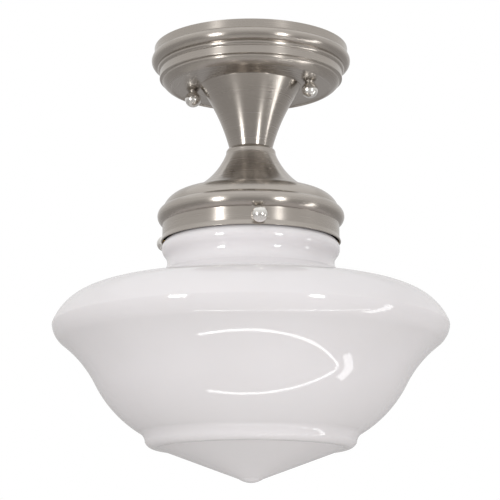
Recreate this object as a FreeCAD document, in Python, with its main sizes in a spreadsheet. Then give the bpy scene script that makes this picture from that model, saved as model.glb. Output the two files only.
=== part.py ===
"""Semi flush ceiling light: a stepped canopy, a flared stem, a bell shaped glass holder with three
ball headed thumb screws, and a blown opal glass shade around one medium base lamp.

Millimetres, +Z up. The origin is the centre of the canopy's rim, which lies on the ceiling, and
the two studs that carry the canopy stand on the X axis.
"""
import FreeCAD, Part
import math
import os
import Sketcher

AXIS_Z = FreeCAD.Vector(0, 0, 1)
# Shares of a wall's thickness, across and up, where its face slopes at 45 degrees.
SLANT = math.sqrt(0.5)
# Corner radius of a hexagon for each unit of its width across the flats.
HEX_CORNER = 1 / math.sqrt(3)
SCREW_COUNT = 3
SIDES = (-1, 1)
DOME = "dome"

# Every size that can be set by itself: its name, its value and what it is.
SIZES = [
    # Canopy, a spun cup with its open side on the ceiling.
    ("canopy_wall", 1.0, "sheet thickness"),
    ("canopy_rim_radius", 75.6, "outside of the straight rim"),
    ("canopy_rim_height", 6.2, "straight rim, from the ceiling down"),
    ("canopy_bulge_radius", 77.7, "crest of the main bulge"),
    ("canopy_bulge_crest", 3.4, "from the rim's edge down to the crest"),
    ("canopy_bulge_height", 9.4, "whole main bulge"),
    ("canopy_bulge_foot", 72.9, "radius where the bulge ends"),
    ("canopy_reed_radius", 73.0, "crest of the thin reed below the bulge"),
    ("canopy_reed_crest", 2.0, "from the bulge's foot down to the reed's crest"),
    ("canopy_reed_height", 3.6, "whole reed"),
    ("canopy_step_radius", 71.4, "straight step below the reed"),
    ("canopy_step_height", 5.8, "straight step"),
    ("canopy_groove_depth", 1.8, "how far the groove is drawn in"),
    ("canopy_groove_height", 1.8, "whole groove"),
    ("canopy_foot_radius", 67.4, "crest of the rounded foot"),
    ("canopy_foot_crest", 2.4, "from the groove down to the foot's crest"),
    ("canopy_foot_height", 4.8, "whole rounded foot"),
    ("canopy_foot_inner", 62.7, "inner edge of the foot's underside"),
    ("canopy_floor_rise", 1.0, "how far the floor stands above the foot"),
    ("hole_clearance", 0.3, "around what passes through a plain hole"),
    ("thread_clearance", 0.06, "around threads, which are modelled plain"),
    # Flared stem cover over a threaded pipe.
    ("flare_wall", 0.9, "sheet thickness"),
    ("flare_top_radius", 39.5, "where the flare meets the canopy"),
    ("flare_middle_radius", 25.3, "half way down"),
    ("flare_waist_radius", 16.6, "at the waist"),
    ("flare_height", 50.0, "canopy floor to waist seam"),
    ("pipe_radius", 5.1, "threaded lamp pipe, outside"),
    ("pipe_bore_radius", 3.5, "threaded lamp pipe, bore"),
    ("pipe_rise", 8.6, "pipe above the canopy's underside"),
    ("pipe_end", 0.6, "pipe below the lampholder cap's collar"),
    ("pipe_nut_flats", 14.3, "across flats"),
    ("pipe_nut_height", 4.0, "thickness"),
    ("pipe_washer_radius", 9.5, "outside"),
    ("pipe_washer_height", 0.8, "thickness"),
    # Fitter, the bell shaped glass holder.
    ("fitter_wall", 1.0, "sheet thickness"),
    ("fitter_top_radius", 16.2, "flat top of the collar"),
    ("fitter_neck_radius", 19.2, "collar below its rounded shoulder"),
    ("fitter_shoulder_height", 3.6, "rounded shoulder"),
    ("fitter_throat_radius", 19.6, "start of the bell"),
    ("fitter_throat_height", 1.8, "below the shoulder"),
    ("fitter_bell_middle", 29.4, "bell radius part way down"),
    ("fitter_bell_middle_drop", 15.8, "from the throat down to that radius"),
    ("fitter_bell_radius", 50.5, "end of the bell's hollow curve"),
    ("fitter_bell_height", 31.0, "throat to the end of the hollow curve"),
    ("fitter_dome_middle", 64.0, "dome radius part way down"),
    ("fitter_dome_middle_drop", 5.4, "from the bell down to that radius"),
    ("fitter_dome_radius", 67.8, "end of the dome"),
    ("fitter_dome_height", 11.6, "whole dome"),
    ("fitter_bead_radius", 72.0, "crest of the bead"),
    ("fitter_bead_height", 12.8, "whole bead"),
    ("fitter_band_radius", 68.1, "straight band"),
    ("fitter_band_height", 10.1, "straight band"),
    ("fitter_lip_out", 1.2, "how far the lip turns out"),
    ("fitter_lip_height", 3.5, "turned lip"),
    # Thumb screws and the threaded inserts that hold them.
    ("screw_drop", 7.6, "from the bead down to the screws' axes"),
    ("screw_radius", 2.05, "shank"),
    ("screw_tip_gap", 0.3, "between the screws' tips and the glass neck"),
    ("screw_ball_radius", 6.1, "ball head"),
    ("screw_ball_stand", 6.9, "from the band out to the centre of the ball head"),
    ("screw_collar_radius", 3.2, "turned collar behind the ball"),
    ("screw_azimuth", 50.7, "degrees, +X to the first screw"),
    ("insert_radius", 3.6, "threaded insert, outside"),
    ("insert_length", 2.7, "from the band's inner face inwards"),
    # Strap, studs and ball nuts that hold the canopy up.
    ("strap_thickness", 2.0, "steel strap on the ceiling"),
    ("strap_width", 22.0, "steel strap"),
    ("strap_end", 8.0, "strap beyond its studs"),
    ("strap_end_rounding", 3.0, "how far its ends are rounded"),
    ("strap_hole_radius", 6.5, "hole in its middle"),
    ("box_screw_spacing", 69.85, "outlet box screws, centre to centre"),
    ("box_slot_length", 12.0, "slot for each of them, end to end"),
    ("box_slot_width", 4.8, "clears the box screws"),
    ("stud_place", 47.4, "lamp axis to each stud"),
    ("stud_radius", 2.08, "number eight thread"),
    ("stud_top_gap", 0.4, "between the studs' tops and the ceiling"),
    ("stud_drop", 8.6, "studs below the canopy's floor"),
    ("stud_nut_flats", 8.7, "across flats"),
    ("stud_nut_height", 3.2, "thickness"),
    ("ball_nut_radius", 6.35, "ball"),
    ("ball_nut_stand", 5.9, "from the canopy's floor down to the ball's centre"),
    ("ball_nut_collar", 3.8, "collar against the canopy"),
    ("ball_nut_bore_depth", 9.2, "blind threaded bore"),
    ("ball_flat", 0.4, "radius of the small flat that turning leaves on the end of a ball"),
    ("ground_screw_place", 21.5, "lamp axis to the ground screw"),
    ("ground_screw_flats", 7.9, "head across flats"),
    ("ground_screw_head", 3.0, "head's height"),
    ("ground_screw_radius", 2.38, "number ten thread"),
    # Lampholder, porcelain under a brass cap.
    ("cap_gap", 0.4, "between the lower pipe nut and the cap"),
    ("cap_wall", 0.9, "drawn brass"),
    ("cap_collar_radius", 7.6, "threaded collar"),
    ("cap_collar_height", 5.4, "threaded collar"),
    ("cap_radius", 18.0, "skirt"),
    ("cap_dome_height", 5.0, "collar to the skirt"),
    ("cap_skirt_height", 15.0, "skirt"),
    ("holder_radius", 18.8, "porcelain body"),
    ("holder_neck_height", 4.0, "part of the body inside the cap"),
    ("holder_height", 31.0, "porcelain below the cap"),
    ("holder_floor", 6.0, "porcelain above the screw shell"),
    ("shell_radius", 13.4, "screw shell's inside, plain stand-in for its thread"),
    ("shell_wall", 0.5, "brass"),
    ("shell_height", 26.0, "screw shell"),
    ("contact_radius", 4.0, "centre contact"),
    ("contact_height", 2.2, "centre contact"),
    ("terminal_head_radius", 3.0, "terminal screw's head"),
    ("terminal_head_height", 2.0, "terminal screw's head"),
    ("terminal_shank_radius", 1.5, "terminal screw's shank"),
    ("terminal_shank_length", 3.0, "terminal screw's shank"),
    ("terminal_gap", 0.1, "between a lead's end and its terminal's head"),
    # Leads and their connectors.
    ("lead_radius", 1.1, "insulated lead"),
    ("lead_spacing", 2.9, "between the two leads inside the pipe"),
    ("lead_bend_radius", 7.0, "bends"),
    ("lead_rise", 2.0, "straight lead above the pipe"),
    ("lead_foot", 1.0, "straight lead above the porcelain"),
    ("lead_foot_place", 7.3, "lamp axis to each lead's lower end"),
    ("lead_run", 30.0, "lamp axis to each lead's outer end"),
    ("connector_length", 22.0, "twist-on connector"),
    ("connector_mouth_radius", 5.6, "open end"),
    ("connector_tip_radius", 3.4, "closed end"),
    ("connector_bore_depth", 8.0, "lead inside the connector"),
    # Shade, blown opal glass of even thickness.
    ("glass_wall", 3.0, "glass thickness"),
    ("shade_lip_radius", 63.4, "rim that hangs on the screws"),
    ("shade_lip_height", 6.9, "rim"),
    ("shade_seat_gap", 0.3, "between the rim and the screws"),
    ("shade_neck_radius", 60.6, "groove that the screws reach into"),
    ("shade_neck_height", 5.6, "groove"),
    ("shade_ring_start", 62.4, "radius at the ring's start"),
    ("shade_ring_lead", 0.65, "from the groove down to the ring's start"),
    ("shade_ring_radius", 68.2, "crest of the ring"),
    ("shade_ring_crest", 6.1, "from its start down to its crest"),
    ("shade_ring_foot", 66.2, "radius where the ring ends"),
    ("shade_ring_height", 13.1, "whole ring"),
    ("shade_waist_radius", 64.2, "narrowest part of the neck"),
    ("shade_waist_crest", 6.4, "from the ring down to the waist"),
    ("shade_waist_foot", 68.6, "radius where the shoulder begins"),
    ("shade_waist_height", 13.4, "whole waist"),
    ("shade_shoulder_middle", 86.0, "shoulder radius part way out"),
    ("shade_shoulder_middle_drop", 7.8, "from the waist down to that radius"),
    ("shade_shoulder_radius", 109.2, "end of the shoulder's hollow curve"),
    ("shade_shoulder_height", 14.6, "whole hollow shoulder"),
    ("shade_brow_middle", 139.6, "brow radius part way down"),
    ("shade_brow_middle_drop", 10.2, "from the shoulder down to that radius"),
    ("shade_radius", 150.8, "widest part of the glass"),
    ("shade_brow_height", 26.4, "shoulder to the widest part"),
    ("shade_cheek_middle", 148.6, "radius part way below the widest part"),
    ("shade_cheek_middle_drop", 7.8, "from the widest part down to that radius"),
    ("shade_cheek_radius", 143.6, "end of the rounded side"),
    ("shade_cheek_height", 13.6, "widest part to the end of the rounded side"),
    ("shade_sweep_middle", 128.0, "radius part way down the hollow sweep"),
    ("shade_sweep_middle_drop", 15.2, "from the rounded side down to that radius"),
    ("shade_sweep_radius", 117.1, "end of the hollow sweep"),
    ("shade_sweep_height", 32.2, "whole hollow sweep"),
    ("shade_bowl_middle", 105.4, "bowl radius part way down"),
    ("shade_bowl_middle_drop", 17.0, "from the sweep down to that radius"),
    ("shade_bowl_radius", 85.0, "end of the bowl"),
    ("shade_bowl_height", 34.4, "whole bowl"),
    ("shade_cove_radius", 81.6, "hollow between the bowl and the ledge, at its middle"),
    ("shade_cove_middle_drop", 2.6, "from the bowl down to that radius"),
    ("shade_ledge_radius", 79.6, "side of the ledge"),
    ("shade_cove_height", 8.0, "bowl to the side of the ledge"),
    ("shade_ledge_middle", 76.8, "ledge radius at the middle of its rounded edge"),
    ("shade_ledge_middle_drop", 3.2, "from the ledge's side down to that radius"),
    ("shade_ledge_foot", 70.4, "radius where the cone begins"),
    ("shade_ledge_height", 4.2, "from the ledge's side down to the cone"),
    ("shade_tip_radius", 9.0, "where the cone's rounded tip begins"),
    ("shade_cone_height", 22.8, "from the ledge down to the tip's start"),
    ("shade_tip_height", 2.8, "rounded tip"),
    # Lamp with a medium screw base.
    ("lamp_gap", 0.3, "between the lamp's contact and the holder's"),
    ("lamp_contact_radius", 4.2, "solder pip"),
    ("lamp_contact_height", 1.6, "solder pip"),
    ("lamp_insulator_radius", 8.0, "insulator at the pip"),
    ("lamp_insulator_height", 3.4, "insulator"),
    ("lamp_base_radius", 13.1, "screw base, plain stand-in for its thread"),
    ("lamp_base_wall", 0.4, "screw base"),
    ("lamp_base_height", 22.0, "screw base"),
    ("lamp_glass_wall", 0.8, "glass thickness"),
    ("lamp_neck_radius", 15.1, "glass half way down its neck"),
    ("lamp_neck_drop", 16.3, "from the base down to that radius"),
    ("lamp_shoulder_radius", 23.0, "where the neck meets the round bulb"),
    ("lamp_radius", 30.0, "round bulb"),
    ("lamp_centre_drop", 50.0, "from the base down to the round bulb's centre"),
]


class Size:
    """A length that holds both its number and the sheet's formula for it."""

    def __init__(self, formula, value):
        self.formula = formula
        self.value = value

    def __add__(self, other):
        other = as_size(other)
        return Size(f"({self.formula} + {other.formula})", self.value + other.value)

    def __sub__(self, other):
        other = as_size(other)
        return Size(f"({self.formula} - {other.formula})", self.value - other.value)

    def __mul__(self, factor):
        factor = as_size(factor)
        return Size(f"({self.formula} * {factor.formula})", self.value * factor.value)

    def __truediv__(self, other):
        other = as_size(other)
        return Size(f"({self.formula} / {other.formula})", self.value / other.value)

    def __neg__(self):
        return self * -1


def as_size(number):
    return number if isinstance(number, Size) else Size(repr(float(number)), float(number))


def half_chord(radius, offset):
    """Half the width of a circle, measured this far from its centre."""
    square = radius * radius - offset * offset
    return Size(f"sqrt({square.formula})", math.sqrt(square.value))


class Sheet:
    """The driving sizes, each read as sheet.name."""

    def __init__(self, doc):
        self.table = doc.addObject("Spreadsheet::Sheet", "Sizes")
        for row, (name, value, note) in enumerate(SIZES, 1):
            self.table.set(f"A{row}", name)
            self.table.set(f"B{row}", str(value))
            self.table.set(f"C{row}", note)
            self.table.setAlias(f"B{row}", name)
        doc.recompute()

    def __getattr__(self, name):
        return Size(f"Sizes.{name}", float(getattr(self.table, name)))


# Drawing ------------------------------------------------------------------------------------------

class Outline:
    """A sketch on one of its body's own planes, with every coordinate tied to the sheet."""

    def __init__(self, body, name, role, height=None):
        self.sketch = body.newObject("Sketcher::SketchObject", name)
        plane = next(f for f in body.Origin.OriginFeatures if f.Role == role)
        self.sketch.AttachmentSupport = [(plane, "")]
        self.sketch.MapMode = "FlatFace"
        if height is not None:
            self.sketch.AttachmentOffset = FreeCAD.Placement(
                FreeCAD.Vector(0, 0, height.value), FreeCAD.Rotation())
            self.sketch.setExpression("AttachmentOffset.Base.z", height.formula)
        self.rules = []

    def fix(self, geometry, end, place):
        """Tie a point's two coordinates; a zero coordinate puts it on the other axis."""
        for kind, axis, size in zip(("DistanceX", "DistanceY"), (-2, -1), map(as_size, place)):
            if size.value == 0:
                self.rules.append((Sketcher.Constraint("PointOnObject", geometry, end, axis), None))
            else:
                rule = Sketcher.Constraint(kind, -1, 1, geometry, end, size.value)
                self.rules.append((rule, size.formula))

    def closed(self, corners):
        """A corner is (place, bend): the side after it is straight where bend is None, and is
        otherwise an arc through bend."""
        sides = []
        for number, (place, bend) in enumerate(corners):
            start = flat(place)
            end = flat(corners[(number + 1) % len(corners)][0])
            if bend is None:
                side = self.sketch.addGeometry(Part.LineSegment(start, end), False)
                sides.append((side, 1, 2))
                continue
            side = self.sketch.addGeometry(Part.Arc(start, flat(bend), end), False)
            # A stored arc runs anticlockwise, so its first end may be either end of the side.
            forward = self.sketch.getPoint(side, 1).distanceToPoint(start) < 1e-3
            sides.append((side, 1, 2) if forward else (side, 2, 1))
            marker = self.sketch.addGeometry(Part.Point(flat(bend)), True)
            self.fix(marker, 1, bend)
            self.rules.append((Sketcher.Constraint("PointOnObject", marker, 1, side), None))
        for number, (side, start, _) in enumerate(sides):
            before, _, end = sides[number - 1]
            rule = Sketcher.Constraint("Coincident", before, end, side, start)
            self.rules.append((rule, None))
            self.fix(side, start, corners[number][0])
        return self

    def circle(self, radius, across=0.0, up=0.0):
        shape = Part.Circle(flat((across, up)), AXIS_Z, radius.value)
        number = self.sketch.addGeometry(shape, False)
        self.fix(number, 3, (across, up))
        self.rules.append((Sketcher.Constraint("Radius", number, radius.value), radius.formula))
        return self

    def done(self):
        numbers = self.sketch.addConstraint([rule for rule, _ in self.rules])
        for number, (_, formula) in zip(numbers, self.rules):
            if formula is not None:
                self.sketch.setExpression(f"Constraints[{number}]", formula)
        return self.sketch


def flat(place):
    return FreeCAD.Vector(as_size(place[0]).value, as_size(place[1]).value, 0)


def straight(*places):
    return [(place, None) for place in places]


def inset(point, wall):
    """A point of a sheet's inner face. point is (radius, height, share of the wall across, up)."""
    radius, height, across, up = point
    return (radius + wall * across, height + wall * up)


def dome(edge, apex):
    """A point between edge and apex on the ball that has its centre above apex, on the axis."""
    radius, height = edge
    rise = height - apex[1]
    ball = (radius * radius + rise * rise) / (rise * 2)
    half = radius / 2
    return (half, apex[1] + ball - half_chord(ball, half))


def shell(corners, wall):
    """The closed outline of a sheet whose outer face is given, with points as inset takes them.
    A bend of DOME rounds the side off on a ball, down to the axis."""
    outer = [point[:2] for point, _ in corners]
    inner = [inset(point, wall) for point, _ in corners]
    there = []
    back = [(inner[0], None)]
    for number, (_, bend) in enumerate(corners):
        if bend == DOME:
            there.append((outer[number], dome(outer[number], outer[number + 1])))
            back.append((inner[number + 1], dome(inner[number], inner[number + 1])))
        else:
            there.append((outer[number], bend[:2] if bend else None))
            if number + 1 < len(corners):
                back.append((inner[number + 1], inset(bend, wall) if bend else None))
    return there + back[::-1]


def new_body(doc, label):
    body = doc.addObject("PartDesign::Body", label)
    body.Label = label
    return body


def turned(doc, label, corners, axis="V_Axis"):
    """A turned piece: an outline drawn as (radius, height), or as (length, radius) where it turns
    about the H_Axis, which lies along X."""
    body = new_body(doc, label)
    sketch = Outline(body, "Profile", "XZ_Plane").closed(corners).done()
    feature = body.newObject("PartDesign::Revolution", "Turned")
    feature.Profile = (sketch, [""])
    feature.ReferenceAxis = (sketch, [axis])
    feature.Angle = 360.0
    return body


def pad(body, sketch, length, down=True):
    feature = body.newObject("PartDesign::Pad", "Plate")
    feature.Profile = (sketch, [""])
    feature.Length = length.value
    feature.setExpression("Length", length.formula)
    feature.Reversed = down
    return feature


def pocket(doc, body, sketch, length, name, reverse):
    """Cut a sketch into a body, and make sure that it took something away."""
    doc.recompute()
    before = body.Shape.Volume
    feature = body.newObject("PartDesign::Pocket", name)
    feature.Profile = (sketch, [""])
    feature.Length = length.value
    feature.setExpression("Length", length.formula)
    feature.Reversed = reverse
    doc.recompute()
    if feature.Shape.Volume >= before:
        raise RuntimeError(f"{body.Label}: {name} cut nothing")
    return feature


def place(feature, across=None, height=None, azimuth=None):
    """Move a piece along X and Z and turn it about Z, each tied to the sheet."""
    angle = azimuth.value if azimuth else 0.0
    feature.Placement = FreeCAD.Placement(FreeCAD.Vector(), FreeCAD.Rotation(AXIS_Z, angle))
    for path, size in (("Base.x", across), ("Base.z", height), ("Rotation.Angle", azimuth)):
        if size is not None:
            feature.setExpression(f"Placement.{path}", size.formula)


def rod(doc, label, radius, bottom, top, across=None):
    feature = doc.addObject("Part::Cylinder", label)
    feature.Label = label
    feature.setExpression("Radius", radius.formula)
    feature.setExpression("Height", (top - bottom).formula)
    place(feature, across, bottom)
    return feature


def hexagon(flats):
    """Corners of a hexagon this wide across its flats, with two of them on the X axis."""
    corner = flats * HEX_CORNER
    half = flats / 2
    return straight((corner, 0.0), (corner / 2, half), (-corner / 2, half),
                    (-corner, 0.0), (-corner / 2, -half), (corner / 2, -half))


def hex_nut(doc, label, top, flats, bore, height):
    body = new_body(doc, label)
    outline = Outline(body, "Profile", "XY_Plane", top).closed(hexagon(flats)).circle(bore)
    pad(body, outline.done(), height)
    return body


def washer(doc, label, top, radius, bore, height):
    body = new_body(doc, label)
    outline = Outline(body, "Profile", "XY_Plane", top).circle(radius).circle(bore)
    pad(body, outline.done(), height)
    return body


def group(doc, label, members):
    """Like pieces that share one node, each still a solid of its own."""
    feature = doc.addObject("Part::Compound", label)
    feature.Label = label
    feature.Links = members
    return feature


# Heights that more than one piece shares ----------------------------------------------------------

def canopy_heights(size):
    """Lower ends of the canopy's turns, from the ceiling down."""
    rim = -size.canopy_rim_height
    bulge = rim - size.canopy_bulge_height
    reed = bulge - size.canopy_reed_height
    step = reed - size.canopy_step_height
    groove = step - size.canopy_groove_height
    foot = groove - size.canopy_foot_height
    return rim, bulge, reed, step, groove, foot


def canopy_floor(size):
    """Underside of the canopy's floor."""
    return canopy_heights(size)[-1] + size.canopy_floor_rise


def waist_seam(size):
    """Where the flare ends and the glass holder begins."""
    return canopy_floor(size) - size.flare_height


def fitter_heights(size):
    """Lower ends of the glass holder's turns, from the seam down."""
    shoulder = waist_seam(size) - size.fitter_shoulder_height
    throat = shoulder - size.fitter_throat_height
    bell = throat - size.fitter_bell_height
    dome = bell - size.fitter_dome_height
    bead = dome - size.fitter_bead_height
    band = bead - size.fitter_band_height
    lip = band - size.fitter_lip_height
    return shoulder, throat, bell, dome, bead, band, lip


def screw_height(size):
    """Axes of the thumb screws."""
    return fitter_heights(size)[4] - size.screw_drop


def screw_azimuth(size, number):
    return size.screw_azimuth + 360.0 / SCREW_COUNT * number


def cap_heights(size):
    """Top of the lampholder's cap, and the lower ends of its collar, dome and skirt."""
    flange = waist_seam(size) - size.fitter_wall
    top = flange - size.pipe_washer_height - size.pipe_nut_height - size.cap_gap
    collar = top - size.cap_collar_height
    dome = collar - size.cap_dome_height
    skirt = dome - size.cap_skirt_height
    return top, collar, dome, skirt


def holder_top(size):
    """Top of the porcelain, where the terminals sit inside the cap."""
    return cap_heights(size)[-1] + size.holder_neck_height


def contact_bottom(size):
    """Underside of the holder's centre contact."""
    return holder_top(size) - size.holder_floor - size.contact_height


def pipe_top(size):
    return canopy_floor(size) + size.pipe_rise


def lead_top(size):
    """Height of the leads' level runs."""
    return pipe_top(size) + size.lead_rise + size.lead_bend_radius


# Pieces -------------------------------------------------------------------------------------------

def make_canopy(doc, size):
    rim, bulge, reed, step, groove, foot = canopy_heights(size)
    floor = canopy_floor(size)
    drawn_in = size.canopy_step_radius - size.canopy_groove_depth
    corners = [
        ((size.canopy_rim_radius, as_size(0), -1, 0), None),
        ((size.canopy_rim_radius, rim, -1, 0),
         (size.canopy_bulge_radius, rim - size.canopy_bulge_crest, -1, 0)),
        ((size.canopy_bulge_foot, bulge, -1, 0),
         (size.canopy_reed_radius, bulge - size.canopy_reed_crest, -1, 0)),
        ((size.canopy_step_radius, reed, -1, 0), None),
        ((size.canopy_step_radius, step, -1, SLANT), None),
        ((drawn_in, step - size.canopy_groove_height / 2, -1, SLANT / 2), None),
        ((drawn_in, groove, -1, 0),
         (size.canopy_foot_radius, groove - size.canopy_foot_crest, -SLANT, SLANT)),
        ((size.canopy_foot_inner, foot, 0, 1), None),
        ((size.canopy_foot_inner - size.canopy_floor_rise, floor, 0, 1), None),
        ((size.pipe_radius + size.hole_clearance, floor, 0, 1), None),
    ]
    body = turned(doc, "canopy", shell(corners, size.canopy_wall))
    holes = Outline(body, "StudHoleProfile", "XY_Plane", floor)
    for side in SIDES:
        holes.circle(size.stud_radius + size.hole_clearance, size.stud_place * side)
    pocket(doc, body, holes.done(), size.canopy_wall * 2, "StudHoles", True)
    return body


def make_flare(doc, size):
    top = canopy_floor(size)
    seam = waist_seam(size)
    corners = [
        ((size.flare_top_radius, top, -1, 0),
         (size.flare_middle_radius, top - size.flare_height / 2, -1, 0)),
        ((size.flare_waist_radius, seam, -1, 1), None),
        ((size.pipe_radius + size.hole_clearance, seam, 0, 1), None),
    ]
    return turned(doc, "stem_cone", shell(corners, size.flare_wall))


def make_pipe(doc, size):
    top = pipe_top(size)
    bottom = cap_heights(size)[1] - size.cap_wall - size.pipe_end
    return turned(doc, "stem_pipe", straight(
        (size.pipe_bore_radius, top), (size.pipe_radius, top),
        (size.pipe_radius, bottom), (size.pipe_bore_radius, bottom)))


def make_pipe_fixings(doc, size):
    """A washer and a nut on the canopy's floor, and a pair inside the glass holder."""
    bore = size.pipe_radius + size.thread_clearance
    loose = size.pipe_radius + size.hole_clearance
    upper = canopy_floor(size) + size.canopy_wall + size.pipe_washer_height
    lower = waist_seam(size) - size.fitter_wall
    pieces = []
    for label, top in (("pipe_top_washer", upper), ("pipe_bottom_washer", lower)):
        pieces.append(washer(doc, label, top, size.pipe_washer_radius, loose,
                             size.pipe_washer_height))
    for label, top in (("pipe_top_nut", upper + size.pipe_nut_height),
                       ("pipe_bottom_nut", lower - size.pipe_washer_height)):
        pieces.append(hex_nut(doc, label, top, size.pipe_nut_flats, bore, size.pipe_nut_height))
    return pieces


def make_fitter(doc, size):
    shoulder, throat, bell, dome, bead, band, lip = fitter_heights(size)
    seam = waist_seam(size)
    rounding = size.fitter_neck_radius - size.fitter_top_radius
    corners = [
        ((size.pipe_radius + size.hole_clearance, seam, 0, -1), None),
        ((size.fitter_top_radius, seam, 0, -1),
         (size.fitter_top_radius + rounding * SLANT,
          shoulder + size.fitter_shoulder_height * SLANT, -SLANT, -SLANT)),
        ((size.fitter_neck_radius, shoulder, -1, 0), None),
        ((size.fitter_throat_radius, throat, -1, 0),
         (size.fitter_bell_middle, throat - size.fitter_bell_middle_drop, -SLANT, -SLANT)),
        ((size.fitter_bell_radius, bell, 0, -1),
         (size.fitter_dome_middle, bell - size.fitter_dome_middle_drop, -SLANT, -SLANT)),
        ((size.fitter_dome_radius, dome, -1, 0),
         (size.fitter_bead_radius, dome - size.fitter_bead_height / 2, -1, 0)),
        ((size.fitter_band_radius, bead, -1, 0), None),
        ((size.fitter_band_radius, band, -1, 0), None),
        ((size.fitter_band_radius + size.fitter_lip_out, lip, -1, 0), None),
    ]
    body = turned(doc, "fitter", shell(corners, size.fitter_wall))
    hole = Outline(body, "ScrewHoleProfile", "YZ_Plane")
    hole.circle(size.screw_radius + size.hole_clearance, 0.0, screw_height(size))
    sketch = hole.done()
    cut = pocket(doc, body, sketch, size.fitter_bead_radius * 2, "ScrewHole", True)
    pattern = body.newObject("PartDesign::PolarPattern", "ScrewHoles")
    pattern.Originals = [cut]
    pattern.Axis = (sketch, ["V_Axis"])
    pattern.Angle = 360.0
    pattern.Occurrences = SCREW_COUNT
    body.Tip = pattern
    doc.recompute()
    if pattern.Shape.Volume >= cut.Shape.Volume:
        raise RuntimeError("the glass holder's other screw holes cut nothing")
    place(body, azimuth=size.screw_azimuth)
    return body


def make_inserts(doc, size):
    """Threaded bushes whose flat outer ends seat in the band's curve."""
    band_inside = size.fitter_band_radius - size.fitter_wall
    bore = size.screw_radius + size.thread_clearance
    start = band_inside - size.insert_length
    end = half_chord(band_inside, size.insert_radius) - size.thread_clearance
    bushes = []
    for number in range(SCREW_COUNT):
        bush = turned(doc, f"insert_{number + 1}", straight(
            (start, bore), (end, bore), (end, size.insert_radius),
            (start, size.insert_radius)), "H_Axis")
        place(bush, height=screw_height(size), azimuth=screw_azimuth(size, number))
        bushes.append(bush)
    return group(doc, "screw_inserts", bushes)


def make_thumb_screws(doc, size):
    tip = size.shade_neck_radius + size.screw_tip_gap
    collar = size.fitter_band_radius + size.hole_clearance
    centre = size.fitter_band_radius + size.screw_ball_stand
    join = centre - half_chord(size.screw_ball_radius, size.screw_collar_radius)
    end = centre + half_chord(size.screw_ball_radius, size.ball_flat)
    corners = [
        ((tip, 0.0), None),
        ((tip, size.screw_radius), None),
        ((collar, size.screw_radius), None),
        ((collar, size.screw_collar_radius), None),
        ((join, size.screw_collar_radius), (centre, size.screw_ball_radius)),
        ((end, size.ball_flat), None),
        ((end, 0.0), None),
    ]
    pieces = []
    for number, side in enumerate(("right", "left", "front")):
        body = turned(doc, f"thumb_screw_{side}", corners, "H_Axis")
        place(body, height=screw_height(size), azimuth=screw_azimuth(size, number))
        pieces.append(body)
    return pieces


def make_strap(doc, size):
    half_length = size.stud_place + size.strap_end
    shoulder = half_length - size.strap_end_rounding
    half_width = size.strap_width / 2
    slot_half = size.box_slot_width / 2
    body = new_body(doc, "mounting_strap")
    outline = Outline(body, "Profile", "XY_Plane")
    outline.closed([
        ((shoulder, half_width), None),
        ((-shoulder, half_width), (-half_length, 0.0)),
        ((-shoulder, -half_width), None),
        ((shoulder, -half_width), (half_length, 0.0)),
    ])
    outline.circle(size.strap_hole_radius)
    outline.circle(size.ground_screw_radius + size.thread_clearance, size.ground_screw_place)
    for side in SIDES:
        outline.circle(size.stud_radius + size.thread_clearance, size.stud_place * side)
        inner = size.box_screw_spacing / 2 - size.box_slot_length / 2 + slot_half
        outer = size.box_screw_spacing / 2 + size.box_slot_length / 2 - slot_half
        outline.closed([
            ((inner * side, slot_half), None),
            ((outer * side, slot_half), ((outer + slot_half) * side, 0.0)),
            ((outer * side, -slot_half), None),
            ((inner * side, -slot_half), ((inner - slot_half) * side, 0.0)),
        ])
    pad(body, outline.done(), size.strap_thickness)
    return body


def make_studs(doc, size):
    """Two studs screwed into the strap, each locked by a nut below it."""
    bottom = canopy_floor(size) - size.stud_drop
    bore = size.stud_radius + size.thread_clearance
    studs = []
    nuts = []
    for number, side in enumerate(SIDES, 1):
        across = size.stud_place * side
        studs.append(rod(doc, f"stud_{number}", size.stud_radius, bottom, -size.stud_top_gap,
                         across))
        nut = hex_nut(doc, f"stud_nut_{number}", -size.strap_thickness, size.stud_nut_flats, bore,
                      size.stud_nut_height)
        place(nut, across=across)
        nuts.append(nut)
    return [group(doc, "canopy_studs", studs), group(doc, "stud_nuts", nuts)]


def make_ball_nuts(doc, size):
    floor = canopy_floor(size)
    centre = floor - size.ball_nut_stand
    bore = size.stud_radius + size.thread_clearance
    collar_end = centre + half_chord(size.ball_nut_radius, size.ball_nut_collar)
    end = centre - half_chord(size.ball_nut_radius, size.ball_flat)
    corners = [
        ((bore, floor), None),
        ((size.ball_nut_collar, floor), None),
        ((size.ball_nut_collar, collar_end), (size.ball_nut_radius, centre)),
        ((size.ball_flat, end), None),
        ((0.0, end), None),
        ((0.0, floor - size.ball_nut_bore_depth), None),
        ((bore, floor - size.ball_nut_bore_depth), None),
    ]
    pieces = []
    for name, side in zip(("left", "right"), SIDES):
        body = turned(doc, f"canopy_nut_{name}", corners)
        place(body, across=size.stud_place * side)
        pieces.append(body)
    return pieces


def make_ground_screw(doc, size):
    """The ground screw's head is below the strap, and its shank is in the strap."""
    below = -size.strap_thickness
    body = new_body(doc, "ground_screw")
    head = Outline(body, "HeadProfile", "XY_Plane", below)
    pad(body, head.closed(hexagon(size.ground_screw_flats)).done(), size.ground_screw_head)
    shank = Outline(body, "ShankProfile", "XY_Plane", below).circle(size.ground_screw_radius)
    pad(body, shank.done(), size.strap_thickness - size.stud_top_gap, down=False)
    place(body, across=size.ground_screw_place)
    return body


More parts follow.
